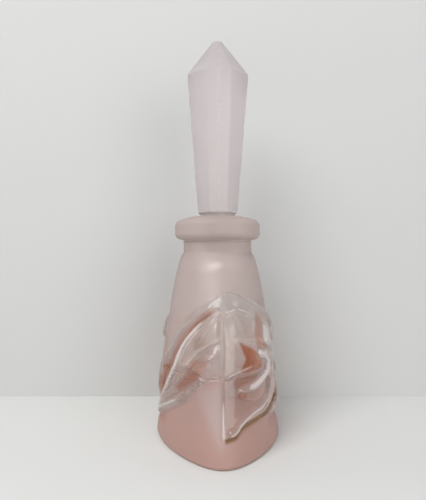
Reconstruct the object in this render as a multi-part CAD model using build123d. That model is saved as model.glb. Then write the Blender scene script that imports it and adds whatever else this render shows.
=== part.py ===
"""Glass perfume bottle with a faceted glass stopper in a soft sealing sleeve.

Frame: +Z up, origin at the middle of the base, on the surface the bottle stands on.
The oval of the body is long along Y and short along X, and its mould seam runs up
the two narrow ends, at -Y and +Y. All sizes are in millimetres.
"""

from build123d import *
from math import cos, radians, sin
import os

# Body outside
BODY_HALF_DEPTH = 46.7  # oval at the base, along Y
BODY_HALF_WIDTH = 26.6  # oval at the base, along X
SHOULDER_HEIGHT = 81.5  # where the flare runs out into the neck
DEPTH_FLARE = 1.25  # powers of the flare, seen from the broad side
DEPTH_SHOULDER = 0.8
WIDTH_FLARE = 1.5  # and seen from the narrow end
WIDTH_SHOULDER = 0.65
BODY_SECTIONS = 14
FOOT_BAND_PROUD = 1.3  # how far the plain band at the foot stands out
FOOT_BAND_HEIGHT = 17.0
FOOT_ROUND = 1.2
NECK_RADIUS = 15.8
NECK_LENGTH = 5.9

# Lip
LIP_OVERHANG = 4.0  # from the neck to the rim
LIP_THICKNESS = 9.6  # straight and rounded part of the rim
LIP_DOME = 1.4  # rise of the top face from the rim to the seat
LIP_SEAT_WIDTH = 1.9  # flat ring round the bore
LIP_TOP_ROUND = 3.6
LIP_UNDER_CHAMFER = 2.2

# Body inside
WALL = 4.6
FLOOR = 29.0  # the glass below the hollow is solid
FLOOR_ROUND = 6.0
BORE_RADIUS = 7.0
BORE_LENGTH = 19.0
RECESS_BORDER = 9.0  # width of the flat ring that the bottle stands on
RECESS_HEIGHT = 1.6

# Sealing sleeve
SLEEVE_CLEARANCE = 0.05  # between its ribs and the bore
SLEEVE_WALL = 1.0
SLEEVE_LENGTH = 16.0
SLEEVE_FLANGE = 1.4
SLEEVE_LEDGE = 1.2  # how far the flange reaches over the seat
RIB_COUNT = 4
RIB_HEIGHT = 0.35
RIB_WIDTH = 1.2

# Stopper
PEG_CLEARANCE = 0.05  # between the peg and the sleeve
PEG_REACH = 1.5  # how far the peg stands out below the sleeve
PEG_ROUND = 1.6
FACETS = 8
FINIAL_FOOT_HALF_WIDTH = 9.0  # over the flats
FINIAL_SHOULDER_HALF_WIDTH = 13.9
FINIAL_LENGTH = 63.1  # foot to shoulder
POINT_LENGTH = 17.1  # shoulder to tip
POINT_HALF_WIDTH = 2.3  # over the flats of the blunt tip

# Moulded flower and leaves, raised on the body. Outlines and crests are points of
# (angle, height). The angle goes round the oval from the seam at -Y towards +X, in
# degrees of the ellipse's parameter. The height is in hundredths of the shoulder's.
# They are given for the +X half, and a half turn about Z makes the other half.
SEAM_PROUD = 0.35
SEAM_WIDTH = 0.7
KEEL_PROUD = 1.6
KEEL_WIDTH = 1.8
KEEL_FOOT = 13
KEEL_TOP = 80
PAD_PROUD = 1.3
PAD_TOP = [(20, 77), (39, 70), (58, 64), (76, 56), (92, 49), (108, 46), (122, 54), (144, 69), (160, 75)]
PAD_FOOT = [(150, 25), (134, 20), (116, 15), (98, 12), (78, 13), (58, 17), (34, 20), (16, 17)]
CREST_SINK = 0.55  # share of a crest's radius that lies under the pad's face
CRESTS = [  # radius, then the points
    (1.7, [(14, 79), (34, 72), (52, 64), (66, 55), (74, 45)]),
    (1.2, [(5, 72), (20, 71), (37, 66)]),
    (1.6, [(39, 49), (49, 46), (46, 40), (34, 37), (19, 33)]),
    (1.6, [(78, 30), (66, 23), (48, 22), (30, 22), (8, 15)]),
    (1.6, [(88, 55), (102, 47), (106, 36), (100, 25), (88, 17)]),
    (1.5, [(168, 74), (150, 68), (131, 58), (119, 47), (111, 37)]),
    (1.5, [(176, 71), (163, 67), (146, 56), (133, 42), (118, 25)]),
    (1.4, [(172, 50), (155, 46), (139, 38), (124, 27), (112, 19)]),
]

# Worked out from the sizes above
LIP_RADIUS = NECK_RADIUS + LIP_OVERHANG
LIP_UNDERSIDE = SHOULDER_HEIGHT + NECK_LENGTH
RIM_TOP = LIP_UNDERSIDE + LIP_THICKNESS
MOUTH = RIM_TOP + LIP_DOME
BORE_FOOT = MOUTH - BORE_LENGTH
STOPPER_FOOT = MOUTH + SLEEVE_FLANGE
RIB_RADIUS = BORE_RADIUS - SLEEVE_CLEARANCE
SLEEVE_RADIUS = RIB_RADIUS - RIB_HEIGHT
PEG_RADIUS = SLEEVE_RADIUS - SLEEVE_WALL - PEG_CLEARANCE
ON_FOOT = (Align.CENTER, Align.CENTER, Align.MIN)


def flare(height, base, power, shoulder):
    """Half size of the oval at a height, without the band at the foot."""
    share = (1 - (height / SHOULDER_HEIGHT) ** power) ** shoulder
    return NECK_RADIUS + (base - NECK_RADIUS) * share


def half_sizes(height, proud):
    """Half width and half depth of the body at a height, grown outwards by proud."""
    band = FOOT_BAND_PROUD * max(0.0, 1 - (height / FOOT_BAND_HEIGHT) ** 2) ** 2
    width = flare(height, BODY_HALF_WIDTH, WIDTH_FLARE, WIDTH_SHOULDER)
    depth = flare(height, BODY_HALF_DEPTH, DEPTH_FLARE, DEPTH_SHOULDER)
    return width + band + proud, depth + band + proud


def oval_at(height, proud=0.0):
    """The body's flat oval at a height, grown outwards by proud."""
    return Pos(0, 0, height) * Ellipse(*half_sizes(height, proud))


def wall_point(angle, hundredths, proud):
    """Point over the outside of the body, given as the flower's points are."""
    height = hundredths * SHOULDER_HEIGHT / 100
    width, depth = half_sizes(height, proud)
    return Vector(width * sin(radians(angle)), -depth * cos(radians(angle)), height)


def flared_solid(proud=0.0):
    """The body's outer shape up to the shoulder, grown outwards by proud."""
    step = SHOULDER_HEIGHT / BODY_SECTIONS
    return loft([oval_at(i * step, proud) for i in range(BODY_SECTIONS + 1)])


def lip():
    """Flanged lip with a domed top, still without its bore."""
    profile = Polyline(
        (0, LIP_UNDERSIDE),
        (LIP_RADIUS - LIP_UNDER_CHAMFER, LIP_UNDERSIDE),
        (LIP_RADIUS, LIP_UNDERSIDE + LIP_UNDER_CHAMFER),
        (LIP_RADIUS, RIM_TOP),
        (BORE_RADIUS + LIP_SEAT_WIDTH, MOUTH),
        (0, MOUTH),
        close=True,
    )
    face = make_face(Plane.XZ * profile)
    rim_corner = face.vertices().sort_by(lambda corner: corner.X + corner.Z / 1000)[-1]
    return revolve(fillet(rim_corner, LIP_TOP_ROUND), Axis.Z)


def cavity():
    """The hollow that holds the perfume, with the bore of the neck."""
    low = FLOOR + FLOOR_ROUND
    high = BORE_FOOT - (NECK_RADIUS - BORE_RADIUS) * 0.75  # where the hollow closes in
    steps = 6
    rise = (high - low) / steps
    sections = [
        oval_at(FLOOR, -WALL - FLOOR_ROUND),
        oval_at(FLOOR + FLOOR_ROUND * 0.3, -WALL - FLOOR_ROUND * 0.3),
    ]
    sections += [oval_at(low + i * rise, -WALL) for i in range(steps + 1)]
    sections.append(Pos(0, 0, BORE_FOOT) * Circle(BORE_RADIUS))
    bore = Pos(0, 0, BORE_FOOT) * Cylinder(BORE_RADIUS, BORE_LENGTH + 1, align=ON_FOOT)
    return loft(sections) + bore


def seam(proud, width, foot, top):
    """Raised line up both narrow ends, where the halves of the mould meet."""
    slab = Pos(0, 0, foot) * Box(width, 3 * BODY_HALF_DEPTH, top - foot, align=ON_FOOT)
    return flared_solid(proud) & slab


def pad():
    """Raised ground under the flower and leaves of the +X half."""
    beyond = BODY_HALF_DEPTH * 1.2
    low = KEEL_FOOT * SHOULDER_HEIGHT / 100
    high = KEEL_TOP * SHOULDER_HEIGHT / 100
    top = [wall_point(*point, PAD_PROUD) for point in PAD_TOP]
    foot = [wall_point(*point, PAD_PROUD) for point in PAD_FOOT]
    outline = [(-beyond, low), (-beyond, high)]
    outline += [(point.Y, point.Z) for point in top]
    outline += [(beyond, high), (beyond, low)]
    outline += [(point.Y, point.Z) for point in foot]
    plate = make_face(Plane.YZ * Polyline(*outline, close=True))
    return flared_solid(PAD_PROUD) & extrude(plate, BODY_HALF_WIDTH * 1.5)


def crest(radius, points):
    """Rounded edge of a petal or leaf: a rod along the wall, with round ends."""
    proud = PAD_PROUD - radius * CREST_SINK
    path = Spline(*[wall_point(*point, proud) for point in points])
    rod = sweep(Plane(path @ 0, z_dir=path % 0) * Circle(radius), path)
    return rod + Pos(path @ 0) * Sphere(radius) + Pos(path @ 1) * Sphere(radius)


def bottle_body():
    """The vessel, one piece of moulded glass."""
    foot_edge = flared_solid().edges().group_by(Axis.Z)[0]
    outside = fillet(foot_edge, FOOT_ROUND)
    sunk = 1.0  # the neck starts inside the shoulder
    neck = Cylinder(NECK_RADIUS, NECK_LENGTH + 2 * sunk, align=ON_FOOT)
    outside += Pos(0, 0, SHOULDER_HEIGHT - sunk) * neck
    outside += lip()
    outside += seam(SEAM_PROUD, SEAM_WIDTH, FOOT_ROUND, SHOULDER_HEIGHT)
    keel_foot = KEEL_FOOT * SHOULDER_HEIGHT / 100
    keel_top = KEEL_TOP * SHOULDER_HEIGHT / 100
    outside += seam(KEEL_PROUD, KEEL_WIDTH, keel_foot, keel_top)
    half_turn = Rot(0, 0, 180)
    outside += [pad(), half_turn * pad()]
    crests = [crest(radius, points) for radius, points in CRESTS]
    outside += crests
    outside += [half_turn * one for one in crests]
    recess = Ellipse(BODY_HALF_WIDTH - RECESS_BORDER, BODY_HALF_DEPTH - RECESS_BORDER)
    return outside - cavity() - extrude(recess, RECESS_HEIGHT, taper=30)


def stopper_sleeve():
    """Soft sleeve round the peg, with a flange on the seat and ribs in the bore."""
    foot = MOUTH - SLEEVE_LENGTH
    sleeve = Pos(0, 0, foot) * Cylinder(SLEEVE_RADIUS, SLEEVE_LENGTH, align=ON_FOOT)
    flange = Cylinder(BORE_RADIUS + SLEEVE_LEDGE, SLEEVE_FLANGE, align=ON_FOOT)
    sleeve += Pos(0, 0, MOUTH) * flange
    pitch = (SLEEVE_LENGTH - RIB_WIDTH) / RIB_COUNT
    rib = Cylinder(RIB_RADIUS, RIB_WIDTH, align=ON_FOOT)
    for i in range(RIB_COUNT):
        sleeve += Pos(0, 0, foot + RIB_WIDTH / 2 + i * pitch) * rib
    hole = Cylinder(SLEEVE_RADIUS - SLEEVE_WALL, 4 * SLEEVE_LENGTH)
    return sleeve - Pos(0, 0, MOUTH) * hole


def facets_at(height, half_width):
    """Flat outline of the finial at a height, with a facet square on to each seam."""
    outline = RegularPolygon(half_width, FACETS, major_radius=False, rotation=180 / FACETS)
    return Pos(0, 0, height) * outline


def stopper():
    """Solid glass finial with its peg."""
    shoulder = STOPPER_FOOT + FINIAL_LENGTH
    foot_face = facets_at(STOPPER_FOOT, FINIAL_FOOT_HALF_WIDTH)
    shoulder_face = facets_at(shoulder, FINIAL_SHOULDER_HALF_WIDTH)
    tip_face = facets_at(shoulder + POINT_LENGTH, POINT_HALF_WIDTH)
    finial = loft([foot_face, shoulder_face], ruled=True)
    finial += loft([shoulder_face, tip_face], ruled=True)
    peg_length = SLEEVE_FLANGE + SLEEVE_LENGTH + PEG_REACH
    peg = Pos(0, 0, STOPPER_FOOT - peg_length) * Cylinder(PEG_RADIUS, peg_length, align=ON_FOOT)
    return finial + fillet(peg.edges().group_by(Axis.Z)[0], PEG_ROUND)


os.makedirs("parts", exist_ok=True)
export_step(bottle_body(), "parts/bottle_body.step")
export_step(stopper_sleeve(), "parts/stopper_sleeve.step")
export_step(stopper(), "parts/stopper.step")
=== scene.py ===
"""Looks of the frosted pink perfume bottle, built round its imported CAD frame.

The bottle body is one closed glass mesh: an oval, flared outside with a moulded flower
and leaves, a turned lip and bore, and the hollow inside. The flower and leaves are
polished clear and the rest is etched. The stopper is a second closed mesh, an eight-sided
spire with a peg. Their lengths are in millimetres up to the point where a mesh is made,
and those of the studio and the materials are in metres.
"""

import math

import bpy
import numpy as np
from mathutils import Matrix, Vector


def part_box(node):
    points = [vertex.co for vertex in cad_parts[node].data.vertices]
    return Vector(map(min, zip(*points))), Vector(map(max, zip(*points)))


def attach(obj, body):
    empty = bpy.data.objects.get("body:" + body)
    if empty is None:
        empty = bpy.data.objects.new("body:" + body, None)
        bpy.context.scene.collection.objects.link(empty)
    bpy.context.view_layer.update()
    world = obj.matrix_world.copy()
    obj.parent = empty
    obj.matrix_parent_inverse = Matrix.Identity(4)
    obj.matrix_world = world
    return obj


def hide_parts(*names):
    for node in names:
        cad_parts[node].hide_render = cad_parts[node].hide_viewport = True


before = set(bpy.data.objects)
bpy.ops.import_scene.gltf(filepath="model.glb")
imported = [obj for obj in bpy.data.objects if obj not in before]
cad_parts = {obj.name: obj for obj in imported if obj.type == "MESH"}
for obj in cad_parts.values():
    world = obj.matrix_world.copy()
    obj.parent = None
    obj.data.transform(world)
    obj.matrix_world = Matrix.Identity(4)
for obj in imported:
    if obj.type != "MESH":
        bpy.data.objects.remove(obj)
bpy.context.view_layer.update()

MM = 0.001

# The frame's own places, in millimetres
_, body_high = (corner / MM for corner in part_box("bottle_body"))
_, sleeve_high = (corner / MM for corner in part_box("stopper_sleeve"))
stopper_low, stopper_high = (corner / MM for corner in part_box("stopper"))

MOUTH = body_high.z
STOPPER_FOOT = sleeve_high.z
STOPPER_TIP = stopper_high.z
PEG_END = stopper_low.z

# Body outside, below the lip
SHOULDER = 81.5
BASE_HALF_WIDTH = 26.6
BASE_HALF_DEPTH = 46.7
POINTED_ENDS = 0.3
NECK_RADIUS = 15.8
FOOT_BAND_PROUD = 1.3
FOOT_BAND_HEIGHT = 17.0
FOOT_ROUND = 1.6
RELIEF_FOOT = 9.0  # the moulding fades out from here down to the foot
RELIEF_TOP = (72.0, 80.0)  # and upwards between these two heights

# Recess under the base
RECESS_HALF_WIDTH = 17.0
RECESS_HALF_DEPTH = 35.5
RECESS_HEIGHT = 1.6
RECESS_DRAFT = 0.6

# Neck and lip
NECK_FILLET = 0.8
LIP_RADIUS = 19.75
LIP_UNDERSIDE = SHOULDER + 5.9
LIP_UNDER_ROUND = 3.2
LIP_RIM_TOP = MOUTH - 4.8
LIP_TOP_ROUND = 4.0
LIP_TOP_RISE = 3.4
SLEEVE_SEAT = 1.9  # from the bore out to where the dome of the lip ends
MOUTH_ROUND = 0.6

# Inside
WALL = 4.6
FLOOR = 29.0
FLOOR_ROUND = 6.0
BORE_RADIUS = 7.0
BORE_FOOT = MOUTH - 19.0
BORE_FLARE = 9.0  # height over which the bore opens into the hollow

# Stopper
PEG_RADIUS = 5.55
PEG_ROUND = 1.6
SPIRE_FOOT = 9.0
SPIRE_SHOULDER = 13.9
SPIRE_SHOULDER_HEIGHT = STOPPER_FOOT + 63.1
TIP_HALF_WIDTH = 3.0
TIP_RISE = 1.5
SEAM_PROUD = 0.07

# Mesh
GLASS_GAP = 0.02  # kept between faces that touch
COLUMNS = 560
SPIRE_COLUMNS = 288
WALL_RINGS = 190
FAR = 1e3  # a distance beyond all of the moulding


# ---------------------------------------------------------------- shapes in numbers


def flare(height, base, power, shoulder):
    """Half size of the body's oval at a height, from the base to the shoulder."""
    share = np.clip(height / SHOULDER, 0, 1) ** power
    return NECK_RADIUS + (base - NECK_RADIUS) * (1 - share) ** shoulder


def half_sizes(height):
    """Half width and half depth of the body at a height."""
    band = FOOT_BAND_PROUD * np.clip(1 - (height / FOOT_BAND_HEIGHT) ** 2, 0, 1) ** 2
    half_width = flare(height, BASE_HALF_WIDTH, 1.5, 0.65) + band
    half_depth = flare(height, BASE_HALF_DEPTH, 1.25, 0.8) + band
    return half_width, half_depth


def oval(turn, half_width, half_depth, height):
    """Places round a section at angles from the front seam: a little pointed at its ends."""
    drawn_in = POINTED_ENDS * np.clip(1 - height / SHOULDER, 0, 1) * np.cos(turn) ** 2
    return half_width * np.sin(turn) * (1 - drawn_in), -half_depth * np.cos(turn)


def smooth(low, high, value):
    """0 below low, 1 above high, and an easy curve between."""
    share = np.clip((value - low) / (high - low), 0, 1)
    return share * share * (3 - 2 * share)


def arc(centre, radius, start, end, count):
    """Points on a circle, from one angle to another in degrees."""
    angles = np.radians(np.linspace(start, end, count))
    return [(centre[0] + radius * math.cos(a), centre[1] + radius * math.sin(a)) for a in angles]


def curve_through(points, per_span=10):
    """A Catmull-Rom curve through the points."""
    p = np.array(points, float)
    p = np.vstack([2 * p[0] - p[1], p, 2 * p[-1] - p[-2]])
    t = np.linspace(0, 1, per_span, endpoint=False)[:, None]
    spans = [
        0.5 * (
            2 * b
            + (c - a) * t
            + (2 * a - 5 * b + 4 * c - d) * t**2
            + (3 * b - a - 3 * c + d) * t**3
        )
        for a, b, c, d in zip(p, p[1:], p[2:], p[3:])
    ]
    return np.vstack([*spans, p[-2][None]])


# The moulding is drawn on the body's skin unrolled flat. A place on it is (angle,
# height): the angle in degrees round the oval from the seam, to the right seen from
# outside, and the height in mm. Across, the flat sheet is measured along the oval's girth.
GIRTH_HEIGHT = 32.0
GIRTH_STEPS = 360  # on each side of the seam
girth_turns = np.radians(np.linspace(-180, 180, 2 * GIRTH_STEPS + 1))
girth_places = np.column_stack(
    oval(girth_turns, *half_sizes(np.array(GIRTH_HEIGHT)), GIRTH_HEIGHT)
)
girth = np.concatenate([[0], np.cumsum(np.hypot(*np.diff(girth_places, axis=0).T))])
girth -= girth[GIRTH_STEPS]


def across(angle):
    """Distance round the oval from the seam, in mm, of an angle in degrees."""
    return np.interp(angle, np.degrees(girth_turns), girth)


def unrolled(points):
    """Flat sheet places of (angle, height) points."""
    p = np.array(points, float)
    return np.column_stack([across(p[:, 0]), p[:, 1]])


class Line:
    """A curve on the flat sheet, with how far and on which side of it each place is."""

    def __init__(self, *points):
        self.path = curve_through(unrolled(points))

    def measure(self, s, z, reach):
        """Distance, side (+1 on the left going along) and share of length, near the curve."""
        a, b = self.path[:-1], self.path[1:]
        low, high = self.path.min(0) - reach, self.path.max(0) + reach
        near = (s > low[0]) & (s < high[0]) & (z > low[1]) & (z < high[1])
        distance = np.full(s.shape, FAR)
        side, share = np.ones(s.shape), np.zeros(s.shape)
        p = np.column_stack([s[near], z[near]])[:, None, :]
        step = b - a
        length = np.hypot(*step.T)
        t = np.clip(((p - a) * step).sum(2) / (length**2), 0, 1)
        gap = p - (a + t[..., None] * step)
        d = np.hypot(gap[..., 0], gap[..., 1])
        i = d.argmin(1)
        row = np.arange(len(i))
        cross = step[i, 0] * (p[:, 0, 1] - a[i, 1]) - step[i, 1] * (p[:, 0, 0] - a[i, 0])
        distance[near] = d[row, i]
        side[near] = np.where(cross >= 0, 1, -1)
        run = np.concatenate([[0], np.cumsum(length)])
        share[near] = (run[i] + t[row, i] * length[i]) / run[-1]
        return distance, side, share


def ridge(line, s, z, left, right, fade=(0.08, 0.08)):
    """A swell along a line, 1 on it and falling to 0 over left and right mm at its sides."""
    distance, side, share = line.measure(s, z, 3.2 * max(left, right))
    width = np.where(side > 0, left, right)
    swell = np.exp(-((distance / width) ** 2))
    return swell * smooth(0, fade[0] + 1e-6, share) * smooth(0, fade[1] + 1e-6, 1 - share)


def inside(outline, s, z, soft):
    """1 inside a closed outline and 0 outside, with a soft edge."""
    path = curve_through(unrolled(outline + outline[:1]), 6)
    a, b = path[:-1], path[1:]
    low, high = path.min(0) - soft, path.max(0) + soft
    near = (s > low[0]) & (s < high[0]) & (z > low[1]) & (z < high[1])
    p = np.column_stack([s[near], z[near]])[:, None, :]
    step = b - a
    t = np.clip(((p - a) * step).sum(2) / ((step**2).sum(1) + 1e-9), 0, 1)
    gap = p - (a + t[..., None] * step)
    distance = np.hypot(gap[..., 0], gap[..., 1]).min(1)
    spans = (a[:, 1] > p[..., 1]) != (b[:, 1] > p[..., 1])
    rise = np.where(step[:, 1] == 0, 1e-9, step[:, 1])
    crossing = a[:, 0] + (p[..., 1] - a[:, 1]) * step[:, 0] / rise
    odd = (spans & (p[..., 0] < crossing)).sum(1) % 2
    out = np.zeros(s.shape)
    out[near] = smooth(-soft, soft, np.where(odd == 1, distance, -distance))
    return out


# ---------------------------------------------------------------- the moulded flower
# Leaves sweep down to the left of each seam and petals curl to the right of it.

CLEAR_GROUND = [
    (0, 65), (8, 65.6), (20, 64.5), (42, 60), (56, 57.5), (74, 52), (86, 46), (92, 38),
    (93, 30), (98, 24), (98, 16), (90, 11.5), (71, 12.5), (50, 14), (34, 14.5), (21, 13.2),
    (13, 11.2), (2, 10.2), (-3, 11), (-10, 16.8), (-20, 22.5), (-29, 23.5), (-38, 21.5),
    (-58, 16), (-77, 9.5), (-88, 11), (-97, 16), (-98, 22), (-86, 25.5), (-73, 34), (-60, 43),
    (-48, 50.6), (-34, 56.7), (-18, 60.3), (-6, 62.5),
]
HALF_POLISHED = [
    (0.5, 6), (0.5, 32), (-8, 31.6), (-19, 31), (-25, 29), (-31, 26), (-38, 23), (-34, 12),
    (-14, 5),
]

LEAF_BAND = Line(
    (-2, 60.5), (-9, 59.5), (-23, 56.6), (-38, 52.2), (-50, 46.6), (-61, 40), (-70, 34),
    (-82, 25),
)
LEAF_VALLEY = Line(
    (-4, 58.3), (-12, 57), (-26, 53), (-39, 48), (-51, 41.3), (-61, 33.6), (-70, 26),
    (-74, 20),
)
LEAF_RIB = Line(
    (0, 58.7), (-13, 55.3), (-26, 51.2), (-37, 46.3), (-44, 41.4), (-51, 34.5), (-58, 28.4),
    (-65, 22.4), (-73, 17),
)
LEAF_INNER = Line((-4, 55.5), (-12, 52.5), (-20, 48.5), (-25, 44.5))
MIDDLE_CREASE = Line((-1, 46.6), (-9, 45.2), (-19, 42.9), (-29, 39.6), (-40, 35))
SMALL_LEAF_RIB = Line(
    (-6, 41), (-14, 39.4), (-23, 37.2), (-33, 33.7), (-46, 28.6), (-59, 22.7), (-74, 16.4),
)
LOW_CREASE = Line((2, 32.8), (-7, 32.3), (-19, 31.7), (-25, 32.9))
TIP_CREASE = Line((-40, 26.5), (-52, 22.9), (-60, 20.2), (-72, 16))
TIP_EDGE = Line((-34, 23.6), (-47, 21.5), (-58, 18.3), (-69, 15), (-79, 11))
FOLDS = [Line((-22, 30.4), (-25, 27.9), (-27, 25.5)), Line((-31, 27.8), (-37, 24.4))]

TOP_PETAL_EDGE = Line(
    (6, 61.5), (11, 61.6), (26, 62), (41, 60), (56, 56.6), (74, 50.6), (84, 44.5), (78, 39.5),
)
TOP_PETAL_FOLD = Line((3, 56.5), (8, 57.2), (18, 58.1), (28, 56.7), (40, 54.4))
MIDDLE_PETAL_EDGE = Line((10, 46.8), (18, 47.5), (29, 46.9), (44, 45.1), (65, 40.6), (80, 36))
CURL = Line(
    (40, 40.6), (49, 38.6), (55, 35.5), (53, 32.2), (45, 29.9), (35, 28.2), (25, 27.7),
    (15, 26.5),
)
PETAL_CREASE = Line((2, 32), (11, 33.3), (19, 34.2), (28, 34.8), (36, 35.1))
LOW_PETAL_CREST = Line(
    (60, 31), (57, 27.5), (54, 23.4), (46, 19.7), (30, 17.9), (19, 15.5), (13, 12.7),
    (2, 11.5),
)
LOW_PETAL_BULGE = Line((62, 18.5), (74, 18), (84, 19), (92, 22), (90, 27), (80, 30))
LOW_PETAL_EDGE = Line(
    (84, 22), (71, 20), (62, 17.3), (50, 15.5), (34, 15), (21, 13.7), (13, 11.5), (2, 10.4),
)
SIDE_PINCH = Line((52, 10.5), (64, 9.5), (80, 9), (96, 9.5), (106, 11))
LEFT_PINCH = Line((-84, 17), (-92, 16), (-102, 15))

SOFT_BUMP = [(-3, 33.5), (-9, 33.5), (-14, 36.5), (-13, 41), (-8, 43), (-3, 42.5)]

DARK_POCKET = [
    (-66, 34), (-58, 33.5), (-62, 29.3), (-64, 23.8), (-70, 19.1), (-85, 18.8), (-84, 24),
    (-75, 30.5),
]
SMALL_LEAF_POCKET = [
    (-29, 38.2), (-14, 39.4), (-16, 37), (-23, 34.4), (-25, 32), (-32, 29.6), (-43, 25.6),
    (-49, 25.3), (-43, 29.9), (-35, 35.4),
]
SIDE_POCKET = [(44, 56.7), (54, 52.1), (58, 46), (56, 40.1), (42, 42.3), (39, 46.5), (42, 52.3)]
STAR_POCKET = [
    (19, 45.6), (27, 43.8), (37, 41.8), (46, 38.5), (47, 35), (40, 33.7), (29, 33.7), (21, 34.2),
    (23, 36.6), (26, 38.7), (23, 41.7),
]
LOW_POCKET = [(18, 27.1), (27, 26.8), (26, 24.5), (19, 24.3), (15, 25.7)]
UNDER_CURL = [(15, 32.4), (31, 32.8), (40, 31.4), (30, 28.6), (22, 28), (11, 28.6), (10, 31.3)]
LOW_PETAL_BLUSH = [(2, 30), (14, 27), (40, 28), (44, 21), (24, 16), (8, 12), (2, 12)]
TIP_POCKET = [(-84, 14.5), (-68, 13.5), (-66, 9), (-80, 7.5)]
# Patches of painted highlight: colour lightened where light glints on the clear glass
PAINTED_HIGHLIGHT_PATCHES = [  # outline, softness of its edge in mm, strength
    ([(-11, 42.2), (-3, 43.2), (0, 39.6), (-2, 35), (-10, 34.9), (-14, 36.6), (-8, 39)], 1.6, 0.55),
    ([(54, 50.5), (63, 48.7), (64, 44.4), (58, 41.9), (54, 44.3)], 0.7, 1.0),
    ([(42, 40.3), (55, 39.3), (56, 37), (44, 37.9)], 0.6, 1.0),
    ([(-24, 25), (-12, 28), (0, 28), (0, 9), (-7, 10), (-15, 15)], 3.2, 0.5),
    ([(-14, 62), (-2, 63), (-2, 59.5), (-12, 59)], 1.5, 0.5),
    ([(3, 63), (10, 64.5), (12, 60), (6, 57)], 1.5, 0.4),
]
# A dark streak beside the seam, painted in the brown colour
DARK_SEAM_STREAK = Line((-3, 57.5), (-4.5, 54), (-3, 51), (-4, 47.5))
MOTTLED = [(-30, 46.2), (-21, 47), (-20, 44.7), (-24, 43.2), (-30, 42.4), (-31, 44.2)]


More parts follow.
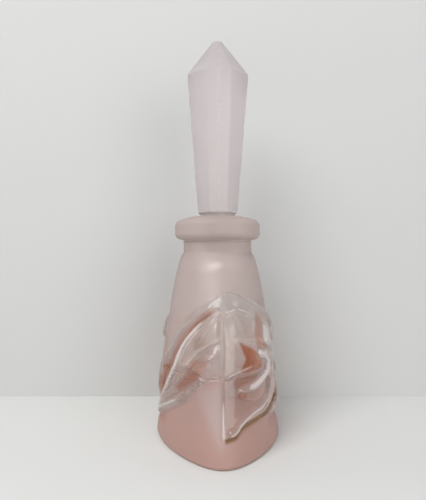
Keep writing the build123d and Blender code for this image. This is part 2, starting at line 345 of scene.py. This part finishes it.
def moulding(angle, height):
    """Relief in mm, and masks of clear glass, deep-coloured glass, painted highlight, and grime
    with painted shade in creases, about one seam.
    """
    s, z = across(angle), height
    ground = inside(CLEAR_GROUND, s, z, 0.9)
    half = inside(HALF_POLISHED, s, z, 1.6)
    clear = ground * (1 - half * (0.55 + 0.45 * smooth(4, 20, 26 - z)))
    far = smooth(20, 75, np.abs(angle))
    swells = [
        0.8 * ground * (1 - inside(HALF_POLISHED, s, z, 4.0)),
        1.5 * ridge(LEAF_BAND, s, z, 1.6, 2.2, (0.08, 0.2)),
        2.3 * ridge(LEAF_RIB, s, z, 1.5, 1.5, (0.02, 0.08)),
        1.2 * ridge(LEAF_INNER, s, z, 0.9, 1.2),
        1.9 * ridge(SMALL_LEAF_RIB, s, z, 2.4, 1.5),
        1.8 * ridge(TIP_EDGE, s, z, 1.4, 1.8, (0.35, 0.08)),
        (1.4 + 0.9 * far) * ridge(TOP_PETAL_EDGE, s, z, 1.0, 2.8, (0.1, 0.1)),
        1.4 * ridge(TOP_PETAL_FOLD, s, z, 0.5, 1.6),
        1.5 * ridge(MIDDLE_PETAL_EDGE, s, z, 0.6, 2.4),
        2.6 * ridge(CURL, s, z, 1.6, 1.5),
        2.0 * ridge(LOW_PETAL_CREST, s, z, 1.1, 2.6),
        1.9 * ridge(LOW_PETAL_BULGE, s, z, 4.0, 4.5, (0.2, 0.1)),
    ]
    raised = sum(np.maximum(h, 0) ** 4 for h in swells) ** 0.25
    bump = inside(SOFT_BUMP, s, z, 1.8)
    cuts = (
        0.9 * ridge(LEAF_VALLEY, s, z, 1.6, 1.6)
        + 0.8 * ridge(MIDDLE_CREASE, s, z, 0.6, 0.6, (0.0, 0.2))
        + 0.5 * ridge(LOW_CREASE, s, z, 0.7, 0.7)
        + 0.7 * ridge(TIP_CREASE, s, z, 0.6, 0.6)
        + 0.5 * ridge(PETAL_CREASE, s, z, 0.6, 0.6)
        + 0.9 * ridge(LOW_PETAL_EDGE, s, z, 1.0, 0.9, (0.0, 0.1))
        + 1.5 * ridge(SIDE_PINCH, s, z, 2.6, 2.6, (0.3, 0.3))
        + 0.5 * ridge(LEFT_PINCH, s, z, 1.8, 1.8, (0.3, 0.3))
    )
    folds = sum(ridge(fold, s, z, 0.7, 0.7, (0.2, 0.2)) for fold in FOLDS)
    relief = raised + 0.9 * bump + 0.6 * folds - cuts

    valley = LEAF_VALLEY.measure(s, z, 6.0)[2]
    deep = np.maximum.reduce([
        (0.8 + 0.2 * valley) * ridge(LEAF_VALLEY, s, z, 2.0, 1.8),
        0.95 * inside(DARK_POCKET, s, z, 0.9),
        0.8 * inside(SMALL_LEAF_POCKET, s, z, 1.3),
        0.75 * inside(SIDE_POCKET, s, z, 1.0),
        1.0 * inside(STAR_POCKET, s, z, 0.5),
        0.85 * inside(LOW_POCKET, s, z, 0.9),
        0.55 * inside(UNDER_CURL, s, z, 1.6),
        0.25 * inside(LOW_PETAL_BLUSH, s, z, 2.0),
        0.3 * inside(TIP_POCKET, s, z, 2.2),
    ])
    # Painted highlights: colour lightened along ribs, crests and rims and in the patches
    painted_highlight = np.maximum.reduce([
        0.3 * ridge(LEAF_BAND, s, z, 1.4, 1.6),
        1.0 * ridge(LEAF_RIB, s, z, 1.1, 1.0, (0.3, 0.1)),
        0.7 * ridge(TIP_EDGE, s, z, 0.9, 1.1, (0.35, 0.1)),
        0.6 * ridge(SMALL_LEAF_RIB, s, z, 0.6, 0.5),
        1.0 * ridge(CURL, s, z, 1.5, 1.4, (0.05, 0.25)),
        0.8 * ridge(LOW_PETAL_CREST, s, z, 0.7, 0.9),
        0.6 * ridge(TOP_PETAL_EDGE, s, z, 0.5, 0.6),
        0.7 * ridge(TOP_PETAL_FOLD, s, z, 0.35, 0.4),
        0.8 * ridge(PETAL_CREASE, s, z, 0.35, 0.35, (0.2, 0.1)),
        *(strength * inside(patch, s, z, soft) for patch, soft, strength in PAINTED_HIGHLIGHT_PATCHES),
    ])
    # Brown grime along the lower petal edge and mottled spots, the dark seam streak, and painted
    # shade darkening the tip and middle creases
    dirt_and_shade = np.maximum.reduce([
        2.0 * ridge(LOW_PETAL_EDGE, s, z, 1.1, 0.8, (0.15, 0.0)),
        0.4 * ridge(DARK_SEAM_STREAK, s, z, 0.7, 0.5, (0.2, 0.2)),
        0.45 * inside(MOTTLED, s, z, 1.3),
        # Painted shade in the tip and middle creases
        0.3 * ridge(TIP_CREASE, s, z, 0.35, 0.35),
        0.3 * ridge(MIDDLE_CREASE, s, z, 0.3, 0.3, (0.0, 0.2)),
    ])
    return relief, clear, deep, painted_highlight, dirt_and_shade


def keel(angle, height):
    """The sharp moulded edge up the seam, in mm."""
    s = across(angle)
    tall = smooth(0, 9, height) * (0.04 + 0.96 * (1 - smooth(56, 66, height)))
    return (0.35 + 0.85 * smooth(8, 30, height)) * tall * np.exp(-np.abs(s) / 0.75)


def skin(angle, height):
    """Relief and masks of the whole way round: the same moulding about both seams."""
    turned = (angle % 360) - 180
    front, back = moulding(angle, height), moulding(turned, height)
    relief, clear, deep, painted_highlight, dirt_and_shade = (np.maximum(f, b) for f, b in zip(front, back))
    relief = np.where(front[1] * back[1] > 0, relief, front[0] + back[0])
    relief = relief + keel(angle, height) + keel(turned, height)
    # Painted highlight along each seam, in a low and a high band
    for s in (across(angle), across(turned)):
        edge = np.exp(-((s / 0.45) ** 2))
        low = smooth(9, 12, height) * (1 - smooth(22, 26, height))
        high = smooth(40, 44, height) * (1 - smooth(57, 60, height))
        painted_highlight = np.maximum(painted_highlight, edge * (0.9 * low + 0.45 * high))
    return relief, (clear, deep, painted_highlight, dirt_and_shade)


# ---------------------------------------------------------------- meshes


def closed_rings(name, rings, first, last, masks, finish=None):
    """A closed mesh of rings of points with a pole at each end.

    finish gives each band of faces, and the two ends, the number of its material.
    """
    count, columns = len(rings), len(rings[0])
    points = np.vstack([*rings, [first], [last]]) * MM
    mesh = bpy.data.meshes.new(name)
    i, j = np.meshgrid(np.arange(count - 1), np.arange(columns), indexing="ij")
    k = (j + 1) % columns
    low, high = i * columns, (i + 1) * columns
    quads = np.stack([low + j, low + k, high + k, high + j], -1)
    ends = np.arange(columns)
    nexts = (ends + 1) % columns
    top = (count - 1) * columns
    fans = [(count * columns, n, e) for e, n in zip(ends, nexts)]
    fans += [(count * columns + 1, top + e, top + n) for e, n in zip(ends, nexts)]
    faces = [tuple(q) for q in quads.reshape(-1, 4).tolist()] + [tuple(map(int, f)) for f in fans]
    mesh.from_pydata(points.tolist(), [], faces)
    for mask, values in masks.items():
        layer = mesh.attributes.new(mask, "FLOAT", "POINT")
        layer.data.foreach_set("value", np.concatenate([values.ravel(), [0, 0]]).astype(np.float32))
    if finish is not None:
        numbers = np.concatenate([finish[:-1].ravel(), finish[0], finish[-1]])
        mesh.polygons.foreach_set("material_index", numbers.astype(np.int32))
    mesh.shade_smooth()
    mesh.update()
    piece = bpy.data.objects.new(name, mesh)
    bpy.context.scene.collection.objects.link(piece)
    return piece


def lip_and_bore():
    """Profile (radius, height) from the neck over the lip and down the bore."""
    under, rim = LIP_UNDERSIDE, LIP_RIM_TOP
    fillet_foot = under - NECK_FILLET
    profile = [(NECK_RADIUS, h) for h in np.linspace(SHOULDER + 0.4, fillet_foot, 8)]
    profile += arc((NECK_RADIUS + NECK_FILLET, fillet_foot), NECK_FILLET, 180, 110, 4)
    for a in np.radians(np.linspace(-78, 0, 10)):
        radius = LIP_RADIUS - LIP_UNDER_ROUND + LIP_UNDER_ROUND * math.cos(a)
        profile.append((radius, under + 2.7 + 2.6 * math.sin(a)))
    profile += [(LIP_RADIUS, h) for h in np.linspace(under + LIP_UNDER_ROUND, rim - 0.4, 6)]
    for a in np.radians(np.linspace(0, 74, 12)):
        radius = LIP_RADIUS - LIP_TOP_ROUND + LIP_TOP_ROUND * math.cos(a)
        profile.append((radius, rim + LIP_TOP_RISE * math.sin(a)))
    dome_radius, dome_height = profile[-1]
    seat = BORE_RADIUS + SLEEVE_SEAT
    for share in np.linspace(0.12, 1, 9):
        radius = dome_radius + (seat - dome_radius) * share
        height = dome_height + (MOUTH - dome_height) * math.sin(share * math.pi / 2)
        profile.append((radius, height))
    profile += arc((BORE_RADIUS + MOUTH_ROUND, MOUTH - MOUTH_ROUND), MOUTH_ROUND, 90, 180, 6)
    profile += [(BORE_RADIUS, h) for h in np.linspace(MOUTH - 2, BORE_FOOT, 10)]
    return profile


# Numbers of the body's materials
ETCHED, POLISHED, INSIDE, HIGHLIGHT_CREST = 0, 1, 2, 3


def glass_body():
    """The pressed glass vessel, with its masks and the finish of each face."""
    angle = np.linspace(0, 360, COLUMNS, endpoint=False)
    turn = np.radians(angle)
    sine, cosine = np.sin(turn), -np.cos(turn)  # normals are those of a plain ellipse
    signed = np.where(angle > 180, angle - 360, angle)
    rings, masks = [], {"clear": [], "deep": [], "painted_highlight": [], "dirt_and_shade": [], "outside": []}

    def add(half_width, half_depth, height, extra=0.0, values=(0, 0, 0, 0), outer=1.0):
        normal = np.column_stack([half_depth * sine, half_width * cosine])
        normal /= np.hypot(*normal.T)[:, None]
        x, y = oval(turn, half_width, half_depth, height)
        x, y = x + normal[:, 0] * extra, y + normal[:, 1] * extra
        rings.append(np.column_stack([x, y, np.full(COLUMNS, height)]))
        for mask, value in zip(masks, (*values, outer)):
            masks[mask].append(np.broadcast_to(np.asarray(value, float), (COLUMNS,)))

    base_width, base_depth = half_sizes(0.0)
    for share in (0.02, 0.25, 0.5, 0.75, 0.9):
        add(RECESS_HALF_WIDTH * share, RECESS_HALF_DEPTH * share, RECESS_HEIGHT)
    for drop in (0.0, 0.5, 1.0):
        out = RECESS_DRAFT * drop
        height = RECESS_HEIGHT * (1 - smooth(0, 1, drop))
        add(RECESS_HALF_WIDTH + out, RECESS_HALF_DEPTH + out, height)
    for inset in (6.0, 3.5, FOOT_ROUND):
        add(base_width - inset, base_depth - inset, 0.0)
    for a in np.radians((20, 40, 60, 80)):
        inset = FOOT_ROUND * (1 - math.sin(a))
        add(base_width - inset, base_depth - inset, FOOT_ROUND * (1 - math.cos(a)))
    for height in np.linspace(FOOT_ROUND, SHOULDER, WALL_RINGS):
        level = np.full(COLUMNS, height)
        relief, values = skin(signed, level)
        settle = smooth(FOOT_ROUND, RELIEF_FOOT, height) * (1 - smooth(*RELIEF_TOP, height))
        width, depth = half_sizes(height)
        add(width, depth, height, relief * settle, values)
    profile = lip_and_bore()
    bore_start = next(i for i, p in enumerate(profile) if i > 12 and p[0] < BORE_RADIUS + 0.5)
    for i, (radius, height) in enumerate(profile):
        add(radius, radius, height, outer=1.0 if i < bore_start else 0.0)
    for height in np.linspace(BORE_FOOT, FLOOR, 46)[1:]:
        width, depth = half_sizes(height)
        neck = smooth(BORE_FOOT - BORE_FLARE, BORE_FOOT, height)
        below_round = 1 - min(1, (height - FLOOR) / FLOOR_ROUND)
        round_in = FLOOR_ROUND * (1 - math.sqrt(1 - below_round**2))
        width = (width - WALL - round_in) * (1 - neck) + BORE_RADIUS * neck
        depth = (depth - WALL - round_in) * (1 - neck) + BORE_RADIUS * neck
        add(width, depth, height, outer=0.0)
    for share in (0.8, 0.5, 0.2):
        add(width * share, depth * share, FLOOR, outer=0.0)
    arrays = {name: np.array(values) for name, values in masks.items()}
    finish = np.where(arrays["clear"] > 0.5, POLISHED, ETCHED)
    # Faces with strong painted highlight take the lighter, less clear crest glass
    finish = np.where(arrays["painted_highlight"] > 0.6, HIGHLIGHT_CREST, finish)
    finish = np.where(arrays["outside"] < 0.5, INSIDE, finish)
    underside, floor = (0, 0, RECESS_HEIGHT), (0, 0, FLOOR)
    return closed_rings("pressed_glass_body", rings, underside, floor, arrays, finish)


def octagon(angle, half_width, sharp=60.0):
    """Radius of an eight-sided outline with soft corners and a flat at each seam."""
    total = sum(np.abs(np.cos(angle - math.radians(45 * k))) ** sharp for k in range(4))
    return half_width / total ** (1 / sharp)


def glass_stopper():
    """The eight-sided spire with its peg, and the mould seam up two of its sides."""
    angle = np.radians(np.linspace(0, 360, SPIRE_COLUMNS, endpoint=False))
    rings, seam = [], []

    def add(radius, height, seam_share=0.0):
        off = np.abs(radius * np.cos(angle))
        radius = radius + SEAM_PROUD * (np.exp(-((off / 0.35) ** 2)) * seam_share)
        x, y = radius * np.cos(angle), radius * np.sin(angle)
        rings.append(np.column_stack([x, y, np.full(SPIRE_COLUMNS, height)]))
        seam.append(np.exp(-((off / 0.8) ** 2)) * seam_share)

    peg = np.full(SPIRE_COLUMNS, PEG_RADIUS)
    for a in np.radians((15, 40, 65, 90)):
        radius = np.full(SPIRE_COLUMNS, PEG_RADIUS - PEG_ROUND + PEG_ROUND * math.sin(a))
        add(radius, PEG_END + PEG_ROUND * (1 - math.cos(a)))
    for height in np.linspace(PEG_END + 2, STOPPER_FOOT - 0.1, 14):
        add(peg, height)
    for share in (0.0, 0.5, 0.94):
        radius = PEG_RADIUS + (octagon(angle, SPIRE_FOOT) - PEG_RADIUS) * share
        add(radius, STOPPER_FOOT + GLASS_GAP)
    for height in np.linspace(STOPPER_FOOT + 0.3, SPIRE_SHOULDER_HEIGHT - 0.35, 80):
        share = (height - STOPPER_FOOT) / (SPIRE_SHOULDER_HEIGHT - STOPPER_FOOT)
        half_width = SPIRE_FOOT + (SPIRE_SHOULDER - SPIRE_FOOT) * share
        add(octagon(angle, half_width), height, 1.0)
    add(octagon(angle, SPIRE_SHOULDER - 0.03), SPIRE_SHOULDER_HEIGHT, 1.0)
    tip_foot = STOPPER_TIP - TIP_RISE
    for share in np.linspace(0.03, 1, 34):
        half_width = SPIRE_SHOULDER + (TIP_HALF_WIDTH - SPIRE_SHOULDER) * share
        height = SPIRE_SHOULDER_HEIGHT + (tip_foot - SPIRE_SHOULDER_HEIGHT) * share
        sharp = 60 - 48 * smooth(0.75, 1, share)
        add(octagon(angle, half_width, sharp), height, 1 - smooth(0.8, 1, share))
    for a in np.radians((20, 40, 60, 78)):
        half_width = TIP_HALF_WIDTH * math.cos(a) + 0.05
        add(octagon(angle, half_width, 12), tip_foot + TIP_RISE * math.sin(a))
    peg_end, tip = (0, 0, PEG_END), (0, 0, STOPPER_TIP)
    return closed_rings("glass_spire_stopper", rings, peg_end, tip, {"seam": np.array(seam)})


# ---------------------------------------------------------------- materials

DEEP_PINK = (0.66, 0.21, 0.1)
HIGHLIGHT_PAINT_COLOUR = (0.98, 0.95, 0.95)
DIRT_AND_SHADE = (0.36, 0.2, 0.06)
SPECKS = (0.3, 0.25, 0.22)
PINK_GRAIN = 0.35  # mm
PINK_CLOUDS = 9.0  # mm
PINK_FADES = (0.01, 0.062)  # heights in metres
ETCH_DEPTH = 0.00003
GLASS_IOR = 1.5


def new_material(name):
    """A node material with nothing but a Principled shader, and that shader."""
    material = bpy.data.materials.new(name)
    material.use_nodes = True
    nodes = material.node_tree.nodes
    nodes.clear()
    output = nodes.new("ShaderNodeOutputMaterial")
    shader = nodes.new("ShaderNodeBsdfPrincipled")
    material.node_tree.links.new(shader.outputs["BSDF"], output.inputs["Surface"])
    return material, shader


def frost_group():
    """Etched grain: fine noise and broad clouds, as masks and a height."""
    group = bpy.data.node_groups.new("Etched frost", "ShaderNodeTree")
    face = group.interface
    for name, value in (("Grain size", 0.35), ("Cloud size", 9.0)):
        socket = face.new_socket(name, in_out="INPUT", socket_type="NodeSocketFloat")
        socket.default_value = value
    for name in ("Grain", "Clouds"):
        face.new_socket(name, in_out="OUTPUT", socket_type="NodeSocketFloat")
    nodes, links = group.nodes, group.links
    entry, leave = nodes.new("NodeGroupInput"), nodes.new("NodeGroupOutput")
    place = nodes.new("ShaderNodeTexCoord")
    for size, result, detail in (("Grain size", "Grain", 3.0), ("Cloud size", "Clouds", 2.0)):
        scale = nodes.new("ShaderNodeMath")
        scale.operation = "DIVIDE"
        scale.inputs[0].default_value = 1000.0
        links.new(entry.outputs[size], scale.inputs[1])
        noise = nodes.new("ShaderNodeTexNoise")
        noise.inputs["Detail"].default_value = detail
        links.new(place.outputs["Object"], noise.inputs["Vector"])
        links.new(scale.outputs[0], noise.inputs["Scale"])
        links.new(noise.outputs["Fac"], leave.inputs[result])
    return group


def feed(tree, socket, value):
    """Link a socket to another node's output, or set it to a number or a colour."""
    if isinstance(value, bpy.types.NodeSocket):
        tree.links.new(value, socket)
    elif isinstance(value, tuple):
        socket.default_value = (*value, 1)
    else:
        socket.default_value = value


def mix_colour(tree, factor, first, second):
    """The first colour where the factor is 0, and the second where it is 1."""
    node = tree.nodes.new("ShaderNodeMix")
    node.data_type = "RGBA"
    feed(tree, node.inputs["Factor"], factor)
    feed(tree, node.inputs["A"], first)
    feed(tree, node.inputs["B"], second)
    return node.outputs["Result"]


def blend(tree, factor, low, high, start=0.0, end=1.0):
    """Value between low and high while the factor goes from start to end."""
    node = tree.nodes.new("ShaderNodeMapRange")
    tree.links.new(factor, node.inputs["Value"])
    node.inputs["From Min"].default_value = start
    node.inputs["From Max"].default_value = end
    node.inputs["To Min"].default_value = low
    node.inputs["To Max"].default_value = high
    return node.outputs["Result"]


def maths(tree, operation, a, b):
    """Two values added, subtracted or multiplied."""
    node = tree.nodes.new("ShaderNodeMath")
    node.operation = operation
    feed(tree, node.inputs[0], a)
    feed(tree, node.inputs[1], b)
    return node.outputs[0]


def mask(tree, name):
    """One of the masks kept on a mesh's points."""
    node = tree.nodes.new("ShaderNodeAttribute")
    node.attribute_name = name
    return node.outputs["Fac"]


def placed(tree, group, values):
    """A node group put into a material or another group, with its own values."""
    node = tree.nodes.new("ShaderNodeGroup")
    node.node_tree = group
    for name, value in values.items():
        feed(tree, node.inputs[name], value)
    return node


def grain_of(tree, frost, grain_size, cloud_size):
    """The etched grain at its own sizes, in mm."""
    return placed(tree, frost, {"Grain size": grain_size, "Cloud size": cloud_size})


def bump_of(tree, shader, height, depth):
    """Fine relief of a surface, depth in metres."""
    bump = tree.nodes.new("ShaderNodeBump")
    bump.inputs["Distance"].default_value = depth
    tree.links.new(height, bump.inputs["Height"])
    tree.links.new(bump.outputs["Normal"], shader.inputs["Normal"])


def height_share(tree, low, high):
    """0 below one height and 1 above another, in metres."""
    place = tree.nodes.new("ShaderNodeTexCoord")
    split = tree.nodes.new("ShaderNodeSeparateXYZ")
    tree.links.new(place.outputs["Object"], split.inputs[0])
    return blend(tree, split.outputs["Z"], 0.0, 1.0, low, high)


def pink_group(frost):
    """Colour of the pink glass: deeper towards the thick foot and in the pockets, lighter with
    painted highlights on the crests, and brown for grime and for painted shade in creases."""
    group = bpy.data.node_groups.new("Pink glass colour", "ShaderNodeTree")
    for name in ("Foot colour", "Upper colour"):
        group.interface.new_socket(name, in_out="INPUT", socket_type="NodeSocketColor")
    group.interface.new_socket("Colour", in_out="OUTPUT", socket_type="NodeSocketColor")
    entry, leave = group.nodes.new("NodeGroupInput"), group.nodes.new("NodeGroupOutput")
    foot, upper = entry.outputs["Foot colour"], entry.outputs["Upper colour"]
    clouds = grain_of(group, frost, PINK_GRAIN, PINK_CLOUDS).outputs["Clouds"]
    colour = mix_colour(group, height_share(group, *PINK_FADES), foot, upper)
    colour = mix_colour(group, blend(group, clouds, 0.0, 0.16), colour, foot)
    colour = mix_colour(group, mask(group, "deep"), colour, DEEP_PINK)
    # Painted highlight: lighter colour on the crests and rims
    edge = maths(group, "MULTIPLY", mask(group, "painted_highlight"), blend(group, clouds, 0.5, 1.2))
    colour = mix_colour(group, edge, colour, HIGHLIGHT_PAINT_COLOUR)
    # Brown for grime and for painted shade in creases
    dirt_and_shade_weight = maths(group, "MULTIPLY", mask(group, "dirt_and_shade"), blend(group, clouds, 0.25, 1.4))
    group.links.new(mix_colour(group, dirt_and_shade_weight, colour, DIRT_AND_SHADE), leave.inputs["Colour"])
    return group


def pink_glass(name, frost, pink, transmission, foot, upper, etched):
    """Pink glass from its foot colour up to its upper colour, etched or polished."""
    material, shader = new_material(name)
    tree = material.node_tree
    grain = grain_of(tree, frost, PINK_GRAIN, PINK_CLOUDS)
    clouds = grain.outputs["Clouds"]
    tint = placed(tree, pink, {"Foot colour": foot, "Upper colour": upper})
    tree.links.new(tint.outputs["Colour"], shader.inputs["Base Color"])
    if etched:
        smoother = maths(tree, "MULTIPLY", mask(tree, "clear"), 0.3)
        rough = maths(tree, "SUBTRACT", blend(tree, clouds, 0.46, 0.58), smoother)
        bump_of(tree, shader, grain.outputs["Grain"], ETCH_DEPTH)
    else:
        frosty = maths(tree, "SUBTRACT", 1.0, mask(tree, "clear"))
        rougher = maths(tree, "MULTIPLY", frosty, 0.5)
        rough = maths(tree, "ADD", rougher, blend(tree, clouds, 0.03, 0.12))
    tree.links.new(rough, shader.inputs["Roughness"])
    shader.inputs["Transmission Weight"].default_value = transmission
    shader.inputs["IOR"].default_value = GLASS_IOR
    shader.inputs["Specular IOR Level"].default_value = 0.15 if etched else 0.5
    return material


def inner_glass(frost):
    """The smooth walls of the hollow and the bore."""
    material, shader = new_material("Pink glass inside")
    tree = material.node_tree
    clouds = grain_of(tree, frost, 0.6, 14.0).outputs["Clouds"]
    colour = mix_colour(tree, clouds, (0.97, 0.92, 0.90), (0.93, 0.86, 0.83))
    tree.links.new(colour, shader.inputs["Base Color"])
    tree.links.new(blend(tree, clouds, 0.12, 0.3), shader.inputs["Roughness"])
    shader.inputs["Transmission Weight"].default_value = 0.9
    shader.inputs["IOR"].default_value = GLASS_IOR
    return material


def pale_glass(frost):
    """Etched glass of the spire, with a painted highlight along its seam, and specks there."""
    material, shader = new_material("Pale satin glass")
    tree = material.node_tree
    grain = grain_of(tree, frost, 0.5, 16.0)
    clouds = grain.outputs["Clouds"]
    tree.links.new(blend(tree, clouds, 0.42, 0.56), shader.inputs["Roughness"])
    seam = mask(tree, "seam")
    specks = blend(tree, grain.outputs["Grain"], 0.0, 1.0, 0.6, 0.68)
    colour = mix_colour(tree, clouds, (0.87, 0.79, 0.80), (0.81, 0.755, 0.75))
    # Painted highlight along the seam
    colour = mix_colour(tree, maths(tree, "MULTIPLY", seam, 0.25), colour, HIGHLIGHT_PAINT_COLOUR)
    colour = mix_colour(tree, maths(tree, "MULTIPLY", specks, seam), colour, SPECKS)
    tree.links.new(colour, shader.inputs["Base Color"])
    bump_of(tree, shader, grain.outputs["Grain"], ETCH_DEPTH)
    shader.inputs["Transmission Weight"].default_value = 0.8
    shader.inputs["IOR"].default_value = GLASS_IOR
    return material


def sleeve_plastic(frost):
    """Soft milky plastic that lets some light through."""
    material, shader = new_material("Milky sleeve plastic")
    tree = material.node_tree
    grain = grain_of(tree, frost, 0.4, 5.0)
    clouds = grain.outputs["Clouds"]
    colour = mix_colour(tree, clouds, (0.9, 0.82, 0.79), (0.84, 0.75, 0.71))
    tree.links.new(colour, shader.inputs["Base Color"])
    tree.links.new(blend(tree, clouds, 0.25, 0.45), shader.inputs["Roughness"])
    bump_of(tree, shader, grain.outputs["Grain"], 0.00002)
    shader.inputs["Transmission Weight"].default_value = 0.6
    shader.inputs["IOR"].default_value = 1.45
    return material


def plain(name, colour, roughness):
    """One even colour, for the studio only."""
    material, shader = new_material(name)
    shader.inputs["Base Color"].default_value = (*colour, 1)
    shader.inputs["Roughness"].default_value = roughness
    return material


def dress(piece, *materials):
    """Give a piece its materials; clearing an empty list would forget the faces' numbers."""
    if len(piece.data.materials):
        piece.data.materials.clear()
    for material in materials:
        piece.data.materials.append(material)


# ---------------------------------------------------------------- studio

VIEW_TURN = math.radians(2.3)
EYE_DISTANCE = 0.2342
EYE_HEIGHT = 0.0827
AXIS_SHIFT = 0.0021
WALL_DISTANCE = 0.0487
STUDIO_REACH = 2.0


def from_view(right, depth, height):
    """A place given to the right of, beyond and above the bottle's foot as the camera sees it."""
    x = right * math.cos(VIEW_TURN) + depth * math.sin(VIEW_TURN)
    y = -right * math.sin(VIEW_TURN) + depth * math.cos(VIEW_TURN)
    return Vector((x, y, height))


def sheet(name, corners, material):
    """A flat face of the studio, which isn't part of the bottle."""
    mesh = bpy.data.meshes.new(name)
    mesh.from_pydata([tuple(c) for c in corners], [], [tuple(range(len(corners)))])
    piece = bpy.data.objects.new(name, mesh)
    bpy.context.scene.collection.objects.link(piece)
    dress(piece, material)


def wall_material():
    """Pale wall that is only there from in front."""
    material, shader = new_material("Studio wall")
    tree = material.node_tree
    output = tree.get_output_node("ALL")
    shader.inputs["Base Color"].default_value = (0.6, 0.6, 0.585, 1)
    shader.inputs["Roughness"].default_value = 0.9
    behind = tree.nodes.new("ShaderNodeNewGeometry")
    clear = tree.nodes.new("ShaderNodeBsdfTransparent")
    switch = tree.nodes.new("ShaderNodeMixShader")
    tree.links.new(behind.outputs["Backfacing"], switch.inputs[0])
    tree.links.new(shader.outputs["BSDF"], switch.inputs[1])
    tree.links.new(clear.outputs["BSDF"], switch.inputs[2])
    tree.links.new(switch.outputs["Shader"], output.inputs["Surface"])
    return material


def softbox(name, place, target, size, power):
    """A rectangular lamp at a place, turned to face the target."""
    light = bpy.data.lights.new(name, "AREA")
    light.shape = "RECTANGLE"
    light.size, light.size_y = size
    light.energy = power
    lamp = bpy.data.objects.new(name, light)
    lamp.location = place
    lamp.rotation_euler = (target - place).to_track_quat("-Z", "Y").to_euler()
    bpy.context.scene.collection.objects.link(lamp)


def studio():
    """Pale table and wall, two softboxes, a dim sky and the camera."""
    reach = STUDIO_REACH
    square = ((-reach, -reach), (reach, -reach), (reach, reach), (-reach, reach))
    table = plain("Studio table", (0.72, 0.72, 0.7), 0.6)
    sheet("table", [from_view(x, y, -0.0001) for x, y in square], table)
    upright = ((-reach, -0.001), (reach, -0.001), (reach, reach), (-reach, reach))
    sheet("wall", [from_view(x, WALL_DISTANCE, z) for x, z in upright], wall_material())
    world = bpy.data.worlds.new("Studio")
    world.use_nodes = True
    sky = world.node_tree.nodes["Background"]
    sky.inputs["Color"].default_value = (0.9, 0.93, 1.0, 1)
    sky.inputs["Strength"].default_value = 0.33
    bpy.context.scene.world = world
    middle = Vector((0, 0, 0.08))
    softbox("window", from_view(-0.32, -0.5, 0.75), middle, (0.5, 0.6), 6.0)
    softbox("front", from_view(0.45, -0.75, 0.22), middle, (0.6, 0.6), 2.8)
    camera = bpy.data.cameras.new("camera")
    camera.sensor_width = 36.0
    camera.lens = 36.0
    eye = bpy.data.objects.new("camera", camera)
    eye.location = from_view(-AXIS_SHIFT, -EYE_DISTANCE, EYE_HEIGHT)
    eye.rotation_euler = (math.pi / 2, 0, -VIEW_TURN)
    bpy.context.scene.collection.objects.link(eye)
    bpy.context.scene.camera = eye
    scene = bpy.context.scene
    scene.view_settings.view_transform = "Standard"
    scene.cycles.max_bounces = 24
    scene.cycles.transmission_bounces = 20


studio()
frost = frost_group()

body = glass_body()
pink = pink_group(frost)
etched = pink_glass(
    "Pink satin glass", frost, pink, transmission=0.65,
    foot=(0.82, 0.545, 0.48), upper=(0.79, 0.68, 0.645), etched=True,
)
polished = pink_glass(
    "Pink clear glass", frost, pink, transmission=0.82,
    foot=(0.96, 0.76, 0.69), upper=(0.99, 0.94, 0.91), etched=False,
)
# Lighter, less clear copy of the glass for the crests: painted highlight
highlight_crest_glass = pink_glass(
    "Pink glass crests painted highlight", frost, pink, transmission=0.55,
    foot=(0.94, 0.82, 0.78), upper=(0.96, 0.91, 0.89), etched=False,
)
dress(body, etched, polished, inner_glass(frost), highlight_crest_glass)
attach(body, "bottle")
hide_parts("bottle_body")

spire = glass_stopper()
dress(spire, pale_glass(frost))
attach(spire, "stopper")
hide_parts("stopper")

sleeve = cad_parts["stopper_sleeve"]
dress(sleeve, sleeve_plastic(frost))
